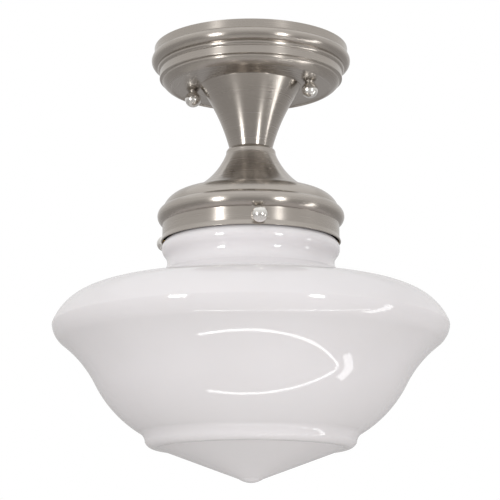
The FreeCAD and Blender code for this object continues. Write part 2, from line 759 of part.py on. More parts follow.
def make_cap(doc, size):
    top, collar, dome, skirt = cap_heights(size)
    bore = size.pipe_radius + size.thread_clearance
    widening = size.cap_radius - size.cap_collar_radius
    corners = [
        ((size.cap_collar_radius, collar, 0, -1),
         (size.cap_collar_radius + widening * SLANT, dome + size.cap_dome_height * SLANT,
          -SLANT, -SLANT)),
        ((size.cap_radius, dome, -1, 0), None),
        ((size.cap_radius, skirt, -1, 0), None),
    ]
    hub = straight((bore, collar - size.cap_wall), (bore, top), (size.cap_collar_radius, top))
    return turned(doc, "lampholder_cap", shell(corners, size.cap_wall) + hub)


def terminal_place(size):
    """Lamp axis to the centre of each terminal screw."""
    return size.lead_foot_place + size.lead_radius + size.terminal_gap + size.terminal_head_radius


def make_holder(doc, size):
    top = holder_top(size)
    edge = cap_heights(size)[-1]
    bottom = edge - size.holder_height
    recess = top - size.holder_floor
    neck = size.cap_radius - size.cap_wall - size.hole_clearance
    bore = size.shell_radius + size.shell_wall + size.thread_clearance
    body = turned(doc, "lampholder_body", straight(
        (0.0, top), (neck, top), (neck, edge), (size.holder_radius, edge),
        (size.holder_radius, bottom), (bore, bottom), (bore, recess), (0.0, recess)))
    holes = Outline(body, "TerminalHoleProfile", "XY_Plane", top)
    for side in SIDES:
        holes.circle(size.terminal_shank_radius + size.thread_clearance, 0.0,
                     terminal_place(size) * side)
    depth = size.terminal_shank_length + size.thread_clearance
    pocket(doc, body, holes.done(), depth, "TerminalHoles", False)
    return body


def make_holder_contacts(doc, size):
    recess = holder_top(size) - size.holder_floor
    outside = size.shell_radius + size.shell_wall
    bottom = recess - size.shell_height
    shell_tube = turned(doc, "lampholder_shell", straight(
        (size.shell_radius, recess), (outside, recess),
        (outside, bottom), (size.shell_radius, bottom)))
    contact = turned(doc, "lampholder_contact", straight(
        (0.0, recess), (size.contact_radius, recess),
        (size.contact_radius, recess - size.contact_height), (0.0, recess - size.contact_height)))
    return [shell_tube, contact]


def make_terminals(doc, size):
    top = holder_top(size)
    head = top + size.terminal_head_height
    foot = top - size.terminal_shank_length
    screws = []
    for number, side in enumerate(SIDES, 1):
        screw = turned(doc, f"terminal_{number}", straight(
            (0.0, head), (size.terminal_head_radius, head), (size.terminal_head_radius, top),
            (size.terminal_shank_radius, top), (size.terminal_shank_radius, foot), (0.0, foot)))
        place(screw)
        screw.setExpression("Placement.Base.y", (terminal_place(size) * side).formula)
        screws.append(screw)
    return group(doc, "terminal_screws", screws)


def make_lead(doc, size, label, side):
    """A lead from its connector down the pipe to its terminal, in straight runs and arcs."""
    bend = size.lead_bend_radius.value
    slant = bend * SLANT
    near = size.lead_spacing.value / 2
    far = size.lead_foot_place.value
    level = lead_top(size).value
    foot = holder_top(size).value
    low = foot + size.lead_foot.value
    shift = far - near
    high = low + 2 * math.sqrt(bend ** 2 - (bend - shift / 2) ** 2)
    # Angle through which each half of the lower double bend turns.
    half_turn = math.acos(1 - shift / 2 / bend) / 2
    dip = bend * math.sin(half_turn)
    give = bend * (1 - math.cos(half_turn))

    def at(across, height):
        return FreeCAD.Vector(0, side * across, height)

    middle = at((near + far) / 2, (low + high) / 2)
    edges = [
        Part.LineSegment(at(size.lead_run.value, level), at(near + bend, level)),
        Part.Arc(at(near + bend, level), at(near + bend - slant, level - bend + slant),
                 at(near, level - bend)),
        Part.LineSegment(at(near, level - bend), at(near, high)),
        Part.Arc(at(near, high), at(near + give, high - dip), middle),
        Part.Arc(middle, at(far - give, low + dip), at(far, low)),
        Part.LineSegment(at(far, low), at(far, foot)),
    ]
    path = Part.Wire([edge.toShape() for edge in edges])
    end = edges[0].StartPoint
    ring = Part.Circle(end, FreeCAD.Vector(0, side, 0), size.lead_radius.value)
    tube = path.makePipeShell([Part.Wire([ring.toShape()])], True, False)
    expected = math.pi * size.lead_radius.value ** 2 * path.Length
    if abs(tube.Volume / expected - 1) > 0.01:
        raise RuntimeError(f"{label}: the swept volume is {tube.Volume}, not {expected}")
    feature = doc.addObject("Part::Feature", label)
    feature.Label = label
    feature.Shape = tube
    return feature


def make_connectors(doc, size):
    """Twist-on connectors over the leads' outer ends."""
    mouth = size.lead_run - size.connector_bore_depth
    end = mouth + size.connector_length
    bore = size.lead_radius + size.thread_clearance
    cones = []
    for number, azimuth in enumerate((90, 270), 1):
        cone = turned(doc, f"connector_{number}", straight(
            (mouth, bore), (mouth, size.connector_mouth_radius), (end, size.connector_tip_radius),
            (end, 0.0), (size.lead_run, 0.0), (size.lead_run, bore)), "H_Axis")
        place(cone, height=lead_top(size), azimuth=as_size(azimuth))
        cones.append(cone)
    return group(doc, "wire_connectors", cones)


def make_shade(doc, size):
    """Each point's last two numbers follow the glass's slope there, across and up."""
    seat = screw_height(size) + size.screw_radius + size.shade_seat_gap
    neck = seat - size.shade_neck_height
    start = neck - size.shade_ring_lead
    ring = start - size.shade_ring_height
    waist = ring - size.shade_waist_height
    shoulder = waist - size.shade_shoulder_height
    brow = shoulder - size.shade_brow_height
    cheek = brow - size.shade_cheek_height
    sweep = cheek - size.shade_sweep_height
    bowl = sweep - size.shade_bowl_height
    cove = bowl - size.shade_cove_height
    ledge = cove - size.shade_ledge_height
    cone = ledge - size.shade_cone_height
    tip = cone - size.shade_tip_height
    corners = [
        ((size.shade_neck_radius, neck, -1, 0), None),
        ((size.shade_ring_start, start, -0.25, -0.97),
         (size.shade_ring_radius, start - size.shade_ring_crest, -0.98, -0.2)),
        ((size.shade_ring_foot, ring, -1, 0),
         (size.shade_waist_radius, ring - size.shade_waist_crest, -1, 0)),
        ((size.shade_waist_foot, waist, -0.8, -0.6),
         (size.shade_shoulder_middle, waist - size.shade_shoulder_middle_drop, -0.36, -0.93)),
        ((size.shade_shoulder_radius, shoulder, -0.22, -0.98),
         (size.shade_brow_middle, shoulder - size.shade_brow_middle_drop, -0.57, -0.82)),
        ((size.shade_radius, brow, -1, 0),
         (size.shade_cheek_middle, brow - size.shade_cheek_middle_drop, -0.93, 0.36)),
        ((size.shade_cheek_radius, cheek, -0.68, 0.73),
         (size.shade_sweep_middle, cheek - size.shade_sweep_middle_drop, -0.77, 0.64)),
        ((size.shade_sweep_radius, sweep, -0.89, 0.46),
         (size.shade_bowl_middle, sweep - size.shade_bowl_middle_drop, -0.73, 0.68)),
        ((size.shade_bowl_radius, bowl, -0.62, 0.78),
         (size.shade_cove_radius, bowl - size.shade_cove_middle_drop, -0.89, 0.46)),
        ((size.shade_ledge_radius, cove, -1, 0),
         (size.shade_ledge_middle, cove - size.shade_ledge_middle_drop, -0.55, 0.84)),
        ((size.shade_ledge_foot, ledge, -0.04, 1), None),
        ((size.shade_tip_radius, cone, -0.34, 0.94), DOME),
        ((as_size(0), tip, 0, 1), None),
    ]
    rim = straight(
        (size.shade_neck_radius - size.glass_wall, seat + size.shade_lip_height),
        (size.shade_lip_radius, seat + size.shade_lip_height),
        (size.shade_lip_radius, seat),
        (size.shade_neck_radius, seat))
    return turned(doc, "shade", shell(corners, size.glass_wall) + rim)


def make_lamp(doc, size):
    tip = contact_bottom(size) - size.lamp_gap
    pip = tip - size.lamp_contact_height
    base = pip - size.lamp_insulator_height
    neck = base - size.lamp_base_height
    centre = neck - size.lamp_centre_drop
    rise = half_chord(size.lamp_radius, size.lamp_shoulder_radius)
    slope = (-size.lamp_shoulder_radius / size.lamp_radius, -rise / size.lamp_radius)
    inside = size.lamp_base_radius - size.lamp_base_wall
    contact = turned(doc, "bulb_contact", straight(
        (0.0, tip), (size.lamp_contact_radius, tip), (size.lamp_contact_radius, pip), (0.0, pip)))
    insulator = turned(doc, "bulb_insulator", straight(
        (0.0, pip), (size.lamp_insulator_radius, pip), (size.lamp_base_radius, base),
        (0.0, base)))
    can = turned(doc, "bulb_base", straight(
        (inside, base), (size.lamp_base_radius, base), (size.lamp_base_radius, neck),
        (inside, neck)))
    corners = [
        ((size.lamp_base_radius, neck, -1, 0),
         (size.lamp_neck_radius, neck - size.lamp_neck_drop, -1, 0)),
        ((size.lamp_shoulder_radius, centre + rise, *slope), (size.lamp_radius, centre, -1, 0)),
        ((as_size(0), centre - size.lamp_radius, 0, 1), None),
    ]
    glass = turned(doc, "bulb_glass", shell(corners, size.lamp_glass_wall))
    return [contact, insulator, can, glass]


def make_pieces(doc, size):
    pieces = [make_strap(doc, size)]
    pieces += make_studs(doc, size)
    pieces += [make_ground_screw(doc, size), make_canopy(doc, size)]
    pieces += make_ball_nuts(doc, size)
    pieces += [make_pipe(doc, size), make_flare(doc, size)]
    pieces += make_pipe_fixings(doc, size)
    pieces += [make_fitter(doc, size), make_inserts(doc, size)]
    pieces += make_thumb_screws(doc, size)
    pieces += [make_cap(doc, size), make_holder(doc, size)]
    pieces += make_holder_contacts(doc, size)
    pieces += [make_terminals(doc, size)]
    pieces += [make_lead(doc, size, "lead_black", 1), make_lead(doc, size, "lead_white", -1)]
    pieces += [make_connectors(doc, size), make_shade(doc, size)]
    pieces += make_lamp(doc, size)
    return pieces


def check(doc, pieces):
    """Stop before anything is written where an object failed or a shape is unsound."""
    for thing in doc.Objects:
        if {"Invalid", "Error"} & set(thing.State):
            raise RuntimeError(f"{thing.Label} failed: {thing.State}")
    for piece in pieces:
        if piece.Shape.isNull() or not piece.Shape.isValid() or not piece.Shape.Solids:
            raise RuntimeError(f"{piece.Label} has no sound shape")


def write(pieces):
    os.makedirs("parts", exist_ok=True)
    for piece in pieces:
        piece.Shape.exportStep(f"parts/{piece.Label}.step")
        box = piece.Shape.optimalBoundingBox()
        print(f"{piece.Label}: {len(piece.Shape.Solids)} solid(s), {piece.Shape.Volume:.0f} mm3, "
              f"z {box.ZMin:.2f} to {box.ZMax:.2f}")


document = FreeCAD.newDocument("CeilingLight")
sheet = Sheet(document)
all_pieces = make_pieces(document, sheet)
document.recompute()
check(document, all_pieces)
write(all_pieces)
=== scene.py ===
import math

import bmesh
import bpy
import numpy as np
from mathutils import Matrix, Vector


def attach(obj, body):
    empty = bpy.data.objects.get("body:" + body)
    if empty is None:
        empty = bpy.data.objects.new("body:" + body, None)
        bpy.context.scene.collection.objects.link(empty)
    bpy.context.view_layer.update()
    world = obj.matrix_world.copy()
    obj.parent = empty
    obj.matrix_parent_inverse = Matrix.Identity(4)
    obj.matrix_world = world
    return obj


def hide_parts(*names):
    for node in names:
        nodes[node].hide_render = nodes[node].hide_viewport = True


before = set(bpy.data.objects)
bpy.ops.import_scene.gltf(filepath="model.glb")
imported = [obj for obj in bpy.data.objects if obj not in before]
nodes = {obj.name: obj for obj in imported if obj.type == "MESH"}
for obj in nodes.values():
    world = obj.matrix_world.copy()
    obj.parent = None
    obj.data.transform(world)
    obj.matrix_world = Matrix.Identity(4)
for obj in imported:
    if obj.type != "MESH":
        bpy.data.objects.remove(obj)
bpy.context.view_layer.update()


# The mounting strap: a strip punched from 2 mm sheet steel, which the outlet box screws hold.
# Bright zinc plate gives it a cool grey, a faint cloud and fine lines from the rolling mill.
def linear(code):
    """The linear colour of an sRGB hex value."""
    shares = [int(code[at:at + 2], 16) / 255 for at in (1, 3, 5)]
    return [s / 12.92 if s <= 0.04045 else ((s + 0.055) / 1.055) ** 2.4 for s in shares] + [1.0]


def add(tree, kind, links=None, **settings):
    """Adds a shader node with its settings. links gives each input a value or another's output."""
    made = tree.nodes.new("ShaderNode" + kind)
    for name, value in settings.items():
        setattr(made, name, value)
    for name, value in (links or {}).items():
        if isinstance(value, bpy.types.NodeSocket):
            tree.links.new(value, made.inputs[name])
        else:
            made.inputs[name].default_value = value
    return made


def open_finish(name):
    """A finish with nothing on it yet: its material, its nodes and the piece's own coordinates."""
    finish = bpy.data.materials.new(name)
    finish.use_nodes = True
    finish.node_tree.nodes.clear()
    return finish, finish.node_tree, add(finish.node_tree, "TexCoord").outputs["Object"]


def dress(finish, *names):
    """Gives the CAD pieces of these names their finish."""
    for name in names:
        for slot in nodes[name].material_slots:
            slot.material = finish


zinc, tree, place = open_finish("zinc_plated_steel")
cloud = add(tree, "TexNoise", {"Vector": place, "Scale": 1 / 0.006, "Detail": 4.0}).outputs[0]
along = add(tree, "Mapping", {"Vector": place, "Scale": (60.0, 2200.0, 2200.0)}).outputs[0]
rolled = add(tree, "TexNoise", {"Vector": along, "Scale": 1.0, "Detail": 3.0}).outputs[0]
tint = add(tree, "Mix", {0: cloud, 6: linear("#9DA1A4"), 7: linear("#C2C4C2")}, data_type="RGBA")
rough = add(tree, "MapRange", {"Value": cloud, "From Min": 0.3, "From Max": 0.7,
                               "To Min": 0.30, "To Max": 0.44})
relief = add(tree, "Bump", {"Height": rolled, "Strength": 0.35, "Distance": 0.00002})
metal = add(tree, "BsdfPrincipled", {"Base Color": tint.outputs[2], "Metallic": 1.0,
                                     "Roughness": rough.outputs[0], "Normal": relief.outputs[0]})
add(tree, "OutputMaterial", {"Surface": metal.outputs[0]})
dress(zinc, "mounting_strap")


# The two canopy studs: number 8-32 screws threaded into the strap, zinc plated steel.
# Their thread has 0.79 mm pitch, which shows as fine bright rings with darker roots; the roots'
# darkness is painted shade.
def threaded(name, pitch, crest, root_shade, smooth):
    """A threaded metal: rings at its pitch along Z, with painted shade and what collects in its
    roots.
    """
    finish, tree, place = open_finish(name)
    rings = add(tree, "TexWave", {"Vector": place, "Scale": math.pi / 10 / pitch},
                bands_direction="Z").outputs[1]
    grime = add(tree, "TexNoise", {"Vector": place, "Scale": 1 / 0.0025, "Detail": 3.0}).outputs[0]
    depth = add(tree, "Math", {0: rings, 1: grime}, operation="MULTIPLY").outputs[0]
    # The roots' darker colour is painted shade in the thread's recesses.
    tint = add(tree, "Mix", {0: rings, 6: linear(root_shade), 7: linear(crest)}, data_type="RGBA")
    rough = add(tree, "MapRange", {"Value": depth, "To Min": smooth + 0.2, "To Max": smooth})
    relief = add(tree, "Bump", {"Height": rings, "Strength": 0.8, "Distance": pitch * 0.4})
    metal = add(tree, "BsdfPrincipled", {"Base Color": tint.outputs[2], "Metallic": 1.0,
                                         "Roughness": rough.outputs[0],
                                         "Normal": relief.outputs[0]})
    add(tree, "OutputMaterial", {"Surface": metal.outputs[0]})
    return finish


dress(threaded("zinc_stud_thread", 0.00079, "#BFC1C1", "#6F7173", 0.30), "canopy_studs")


# The stud nuts, which lock the studs under the strap: pressed steel hexagon nuts, zinc plated.
# A finer cloud than the strap's, because the nuts are barrel plated, and knocked smooth faces.
barrel_zinc, tree, place = open_finish("barrel_plated_zinc")
cloud = add(tree, "TexNoise", {"Vector": place, "Scale": 1 / 0.002, "Detail": 5.0}).outputs[0]
knocks = add(tree, "TexVoronoi", {"Vector": place, "Scale": 1 / 0.0015}).outputs[0]
tint = add(tree, "Mix", {0: cloud, 6: linear("#A6A9AB"), 7: linear("#C8C8C4")}, data_type="RGBA")
rough = add(tree, "MapRange", {"Value": cloud, "From Min": 0.3, "From Max": 0.7,
                               "To Min": 0.24, "To Max": 0.38})
relief = add(tree, "Bump", {"Height": knocks, "Strength": 0.15, "Distance": 0.00005})
metal = add(tree, "BsdfPrincipled", {"Base Color": tint.outputs[2], "Metallic": 1.0,
                                     "Roughness": rough.outputs[0], "Normal": relief.outputs[0]})
add(tree, "OutputMaterial", {"Surface": metal.outputs[0]})
dress(barrel_zinc, "stud_nuts")


# The ground screw in the strap: a steel hexagon head screw, dyed green over its zinc.
# The dye is thin, so metal shines through it and it is paler where it has rubbed.
green, tree, place = open_finish("green_dyed_zinc")
rubbed = add(tree, "TexNoise", {"Vector": place, "Scale": 1 / 0.0018, "Detail": 5.0}).outputs[0]
patch = add(tree, "MapRange", {"Value": rubbed, "From Min": 0.45, "From Max": 0.7}).outputs[0]
tint = add(tree, "Mix", {0: patch, 6: linear("#23703B"), 7: linear("#5B9A68")}, data_type="RGBA")
rough = add(tree, "MapRange", {"Value": rubbed, "To Min": 0.22, "To Max": 0.42})
relief = add(tree, "Bump", {"Height": rubbed, "Strength": 0.2, "Distance": 0.00004})
metal = add(tree, "BsdfPrincipled", {"Base Color": tint.outputs[2], "Metallic": 0.85,
                                     "Roughness": rough.outputs[0], "Normal": relief.outputs[0]})
add(tree, "OutputMaterial", {"Surface": metal.outputs[0]})
dress(green, "ground_screw")


# The canopy: a stepped cup spun from 1 mm sheet steel, nickel plated and brushed on the lathe.
# It hangs on the two studs, with its open side on the ceiling, and hides the outlet box.
MM = 0.001
WALL_KEPT = 0.985
EASE_STEPS = 9
CLOSEST_POINTS = 0.04
SPREAD = 0.3
SHEET_SEGMENTS, SHEET_TURN = 160, 6.0
DRILL_SEGMENTS, DRILL_DEPTH = 48, 8.0


def outline(corners, step):
    """Points along a turned outline, as (radius, height) in millimetres. A corner of two numbers
    ends a straight run, and one of four ends an arc that passes through its first two."""
    line = [np.array(corners[0], float)]
    for corner in corners[1:]:
        start, end = line[-1], np.array(corner[-2:], float)
        if len(corner) == 2:
            count = max(2, round(np.linalg.norm(end - start) / step))
            line += [start + (end - start) * share for share in np.linspace(0, 1, count + 1)[1:]]
            continue
        middle = np.array(corner[:2], float)
        chords = np.array([middle - start, end - start]) * 2
        centre = np.linalg.solve(chords, [middle @ middle - start @ start,
                                          end @ end - start @ start])
        turns = np.unwrap([math.atan2(*(point - centre)[::-1]) for point in (start, middle, end)])
        radius = np.linalg.norm(start - centre)
        count = max(3, round(radius * abs(turns[2] - turns[0]) / step))
        line += [centre + radius * np.array([math.cos(turn), math.sin(turn)])
                 for turn in np.linspace(turns[0], turns[2], count + 1)[1:]]
    return np.array(line)


def inner_face(line, wall):
    """The inner face of a sheet whose outer face is line, without the loops of a tight bend."""
    along = np.gradient(line, axis=0)
    across = np.stack([along[:, 1], -along[:, 0]], axis=1)
    moved = line + across / np.linalg.norm(across, axis=1, keepdims=True) * wall
    apart = np.array([np.hypot(*(line - point).T).min() for point in moved])
    return moved[apart > wall * WALL_KEPT]


def eased(line, soft, on_axis):
    """The line with its corners eased over about soft, in even steps. A line on_axis runs from
    the axis to the axis, and any other one is a closed ring."""
    step = soft / 6
    if not on_axis:
        line = np.concatenate([line, line[:1]])
    way = np.concatenate([[0], np.cumsum(np.hypot(*np.diff(line, axis=0).T))])
    even = np.linspace(0, way[-1], round(way[-1] / step) + 1)
    line = np.stack([np.interp(even, way, line[:, k]) for k in (0, 1)], axis=1)
    weights = np.exp(-0.5 * np.linspace(-3, 3, 2 * EASE_STEPS + 1) ** 2)
    weights /= weights.sum()
    if on_axis:
        over = line * (-1, 1)
        line = np.concatenate([over[EASE_STEPS:0:-1], line, over[-2:-EASE_STEPS - 2:-1]])
    else:
        line = np.concatenate([line[-EASE_STEPS - 1:-1], line, line[1:EASE_STEPS + 1]])
    return np.stack([np.convolve(line[:, k], weights, "valid") for k in (0, 1)], axis=1)


def thinned(line, turn, longest):
    """Points along line that stand close where it bends, turn degrees apart, and spread out
    gradually to longest where it is straight."""
    steps = np.diff(line, axis=0)
    length = np.hypot(*steps.T)
    heading = np.unwrap(np.arctan2(steps[:, 1], steps[:, 0]))
    bend = np.abs(np.gradient(heading)) / length
    apart = np.clip(math.radians(turn) / np.maximum(bend, 1e-9), CLOSEST_POINTS, longest)
    for order in (range(1, len(apart)), range(len(apart) - 2, -1, -1)):
        for at in order:
            before = at - order.step
            apart[at] = min(apart[at], apart[before] + SPREAD * length[at])
    tally = np.concatenate([[0], np.cumsum(length / apart)])
    kept = np.linspace(0, tally[-1], math.ceil(tally[-1]) + 1)
    return np.stack([np.interp(kept, tally, line[:, k]) for k in (0, 1)], axis=1)


def lathe(line, segments, on_axis):
    """Turns a line about Z, in metres."""
    turned = bmesh.new()
    line = line if on_axis else line[:-1]
    points = [turned.verts.new((radius * MM, 0, height * MM)) for radius, height in line]
    for start, end in zip(points, points[1:] if on_axis else points[1:] + points[:1]):
        turned.edges.new((start, end))
    bmesh.ops.spin(turned, geom=turned.verts[:] + turned.edges[:], axis=(0, 0, 1),
                   cent=(0, 0, 0), angle=2 * math.pi, steps=segments, use_merge=True)
    bmesh.ops.remove_doubles(turned, verts=turned.verts, dist=1e-7)
    bmesh.ops.recalc_face_normals(turned, faces=turned.faces)
    for face in turned.faces:
        face.smooth = True
    return turned


def spun_sheet(corners, wall, soft, longest=4.0):
    """A sheet piece turned from its outer face's corners, with the edges that the maker breaks."""
    outer = outline(corners, 0.1)
    ring = np.concatenate([outer, inner_face(outer, wall)[::-1]])
    return lathe(thinned(eased(ring, soft, False), SHEET_TURN, longest), SHEET_SEGMENTS, False)


def drilled(piece, drills):
    """Cuts holes out of a piece. A drill is (centre, direction, radius), in millimetres."""
    bits = bmesh.new()
    for centre, direction, radius in drills:
        turn = Vector(direction).to_track_quat("Z", "Y").to_matrix().to_4x4()
        bmesh.ops.create_cone(bits, cap_ends=True, segments=DRILL_SEGMENTS, radius1=radius * MM,
                              radius2=radius * MM, depth=DRILL_DEPTH * MM,
                              matrix=Matrix.Translation(Vector(centre) * MM) @ turn)
    tool = bpy.data.objects.new("drill_bits", bpy.data.meshes.new("drill_bits"))
    bits.to_mesh(tool.data)
    bits.free()
    bpy.context.scene.collection.objects.link(tool)
    cut = piece.modifiers.new("drilled", "BOOLEAN")
    cut.object, cut.operation, cut.solver = tool, "DIFFERENCE", "EXACT"
    seen = piece.evaluated_get(bpy.context.evaluated_depsgraph_get())
    piece.data = bpy.data.meshes.new_from_object(seen)
    piece.modifiers.clear()
    bpy.data.objects.remove(tool)


def put_together(name, shape, finish, body, node):
    """Makes a piece of a shape, and sets it on its body in place of its CAD node."""
    mesh = bpy.data.meshes.new(name)
    shape.to_mesh(mesh)
    shape.free()
    mesh.materials.append(finish)
    piece = bpy.data.objects.new(name, mesh)
    bpy.context.scene.collection.objects.link(piece)
    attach(piece, body)
    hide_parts(node)
    return piece


# Satin nickel, brushed round the lathe's axis and lacquered. The brush lines are 0.05 mm apart,
# too fine to show, and are drawn 0.6 mm apart. They draw each highlight out up and down the
# profile and leave it narrow round the piece, which gives the upright streaks.
BRUSH_GAP, BAND_GAP = 0.0006, 0.004
satin_nickel, tree, place = open_finish("satin_nickel_brushed_on_the_lathe")
flat_place = add(tree, "VectorMath", {0: place, 1: (1, 1, 0)}, operation="MULTIPLY").outputs[0]
reach = add(tree, "VectorMath", {0: flat_place}, operation="LENGTH").outputs["Value"]
across = add(tree, "Math", {0: reach, 1: 1 / BRUSH_GAP}, operation="MULTIPLY").outputs[0]
down = add(tree, "VectorMath", {0: place, 1: (14.0, 14.0, 1 / BRUSH_GAP)},
           operation="MULTIPLY").outputs[0]
brushed = add(tree, "TexNoise", {"Vector": down, "W": across, "Scale": 1.0, "Detail": 2.0},
              noise_dimensions="4D").outputs[0]
wide_down = add(tree, "VectorMath", {0: place, 1: (6.0, 6.0, 1 / BAND_GAP)},
                operation="MULTIPLY").outputs[0]
wide_across = add(tree, "Math", {0: reach, 1: 1 / BAND_GAP}, operation="MULTIPLY").outputs[0]
bands = add(tree, "TexNoise", {"Vector": wide_down, "W": wide_across, "Scale": 1.0, "Detail": 3.0},
            noise_dimensions="4D").outputs[0]
handled = add(tree, "TexNoise", {"Vector": place, "Scale": 1 / 0.03, "Detail": 3.0}).outputs[0]
tint = add(tree, "Mix", {0: bands, 6: linear("#A8A29B"), 7: linear("#BDB7B0")}, data_type="RGBA")
worn = add(tree, "Mix", {0: handled, 6: tint.outputs[2], 7: linear("#B4ADA5")}, data_type="RGBA")
rough = add(tree, "MapRange", {"Value": brushed, "From Min": 0.2, "From Max": 0.8,
                               "To Min": 0.22, "To Max": 0.29})
relief = add(tree, "Bump", {"Height": brushed, "Strength": 0.10, "Distance": 0.00002})
round_axis = add(tree, "Tangent", direction_type="RADIAL", axis="Z")
metal = add(tree, "BsdfPrincipled", {"Base Color": worn.outputs[2], "Metallic": 1.0,
                                     "Roughness": rough.outputs[0], "Anisotropic": 0.75,
                                     "Anisotropic Rotation": 0.25, "Coat Weight": 0.15,
                                     "Coat Roughness": 0.08, "Normal": relief.outputs[0],
                                     "Tangent": round_axis.outputs[0]})
add(tree, "OutputMaterial", {"Surface": metal.outputs[0]})

CANOPY = [(75.6, 0), (75.6, -6.2), (77.7, -9.6, 72.9, -15.6), (73.0, -17.6, 71.4, -19.2),
          (71.4, -25.0), (69.3, -25.6), (69.3, -27.0), (67.4, -29.2, 62.7, -31.6), (61.7, -30.6),
          (5.4, -30.6)]
STUD_X, STUD_HOLE = 47.4, 2.38
CANOPY_FLOOR = -30.1
canopy = put_together("canopy_spun_cup", spun_sheet(CANOPY, 1.0, 0.3), satin_nickel, "fixture",
                      "canopy")
drilled(canopy, [((side * STUD_X, 0, CANOPY_FLOOR), (0, 0, 1), STUD_HOLE) for side in (-1, 1)])


# The two ball nuts, which screw up onto the studs and carry the canopy: brass turned to a ball
# with a short collar, polished and nickel plated, so that they mirror the room.
bright_nickel, tree, place = open_finish("polished_nickel_plate")
touched = add(tree, "TexNoise", {"Vector": place, "Scale": 1 / 0.004, "Detail": 4.0}).outputs[0]
specks = add(tree, "TexNoise", {"Vector": place, "Scale": 1 / 0.0007, "Detail": 2.0}).outputs[0]
tint = add(tree, "Mix", {0: touched, 6: linear("#DAD7D2"), 7: linear("#ECEAE6")}, data_type="RGBA")
rough = add(tree, "MapRange", {"Value": touched, "From Min": 0.35, "From Max": 0.7,
                               "To Min": 0.20, "To Max": 0.30})
relief = add(tree, "Bump", {"Height": specks, "Strength": 0.06, "Distance": 0.00003})
metal = add(tree, "BsdfPrincipled", {"Base Color": tint.outputs[2], "Metallic": 1.0,
                                     "Roughness": rough.outputs[0], "Coat Weight": 1.0,
                                     "Coat Roughness": 0.04, "Normal": relief.outputs[0]})
add(tree, "OutputMaterial", {"Surface": metal.outputs[0]})


def turned_ball(corners):
    """A small solid turned from its outline, from the axis to the axis, with its edges broken."""
    return lathe(thinned(eased(outline(corners, 0.05), 0.25, True), 5.0, 1.0), 80, True)


BALL_NUT = [(0, -39.8), (2.14, -39.8), (2.14, -30.6), (3.8, -30.6), (3.8, -31.41),
            (6.35, -36.5, 0, -42.85)]
for side, name in ((-1, "left"), (1, "right")):
    ball = turned_ball(BALL_NUT)
    bmesh.ops.translate(ball, verts=ball.verts, vec=(side * STUD_X * MM, 0, 0))
    put_together(f"ball_nut_{name}", ball, bright_nickel, f"canopy_nut_{name}",
                 f"canopy_nut_{name}")


# The lamp pipe up the middle, which clamps canopy, flare and holder together with a washer and
# nut at each end: 1/8 IP steel pipe threaded all along, with a pitch of 0.94 mm.
dress(threaded("zinc_pipe_thread", 0.00094, "#B9BBBA", "#6A6C6D", 0.32), "stem_pipe")
dress(barrel_zinc, "pipe_top_washer", "pipe_top_nut", "pipe_bottom_washer", "pipe_bottom_nut")


# The flare: a trumpet spun from 0.9 mm sheet, brushed nickel like the canopy, with its wide end
# against the canopy's floor and its flanged foot on the glass holder.
FLARE = [(39.5, -30.6), (25.3, -55.6, 16.6, -80.6), (5.4, -80.6)]
put_together("stem_flare", spun_sheet(FLARE, 0.9, 0.35), satin_nickel, "fixture",
             "stem_cone")


# The glass holder: a bell spun from 1 mm sheet, brushed nickel, with a rounded collar on top, a
# domed skirt, a bead, and a straight band with a turned lip that three screws pass through.
HOLDER = [(5.4, -80.6), (16.2, -80.6), (18.32, -81.65, 19.2, -84.2), (19.6, -86.0),
          (29.4, -101.8, 50.5, -117.0), (64.0, -122.4, 67.8, -128.6), (72.0, -135.0, 68.1, -141.4),
          (68.1, -151.5), (69.3, -155.0)]
BAND_MIDDLE = 67.6
SCREW_Z, SCREW_HOLE = -149.0, 2.35
SCREWS = {"right": 50.7, "left": 170.7, "front": 290.7}
holder = put_together("glass_holder", spun_sheet(HOLDER, 1.0, 0.3, 3.0), satin_nickel, "fixture",
                      "fitter")
outwards = {name: Matrix.Rotation(math.radians(turn), 3, "Z") @ Vector((1, 0, 0))
            for name, turn in SCREWS.items()}
drilled(holder, [(way * BAND_MIDDLE + Vector((0, 0, SCREW_Z)), way, SCREW_HOLE)
                 for way in outwards.values()])


# The three threaded bushes behind the holder's band, which the thumb screws turn in: brass rod,
# turned and tapped, staked into the sheet and left bright.
def brass_finish(name, size):
    """Bright brass with lathe marks round Z and the brown bloom that handling leaves on it."""
    finish, tree, place = open_finish(name)
    bloom = add(tree, "TexNoise", {"Vector": place, "Scale": 1 / size, "Detail": 4.0}).outputs[0]
    upright = add(tree, "VectorMath", {0: place, 1: (90, 90, 1 / 0.0005)},
                  operation="MULTIPLY").outputs[0]
    marks = add(tree, "TexNoise", {"Vector": upright, "Scale": 1.0, "Detail": 2.0}).outputs[0]
    tint = add(tree, "Mix", {0: bloom, 6: linear("#B98F4C"), 7: linear("#DDBB74")},
               data_type="RGBA")
    rough = add(tree, "MapRange", {"Value": bloom, "From Min": 0.3, "From Max": 0.7,
                                   "To Min": 0.36, "To Max": 0.20})
    relief = add(tree, "Bump", {"Height": marks, "Strength": 0.25, "Distance": 0.00002})
    metal = add(tree, "BsdfPrincipled", {"Base Color": tint.outputs[2], "Metallic": 1.0,
                                         "Roughness": rough.outputs[0],
                                         "Normal": relief.outputs[0]})
    add(tree, "OutputMaterial", {"Surface": metal.outputs[0]})
    return finish


dress(brass_finish("turned_brass", 0.003), "screw_inserts")


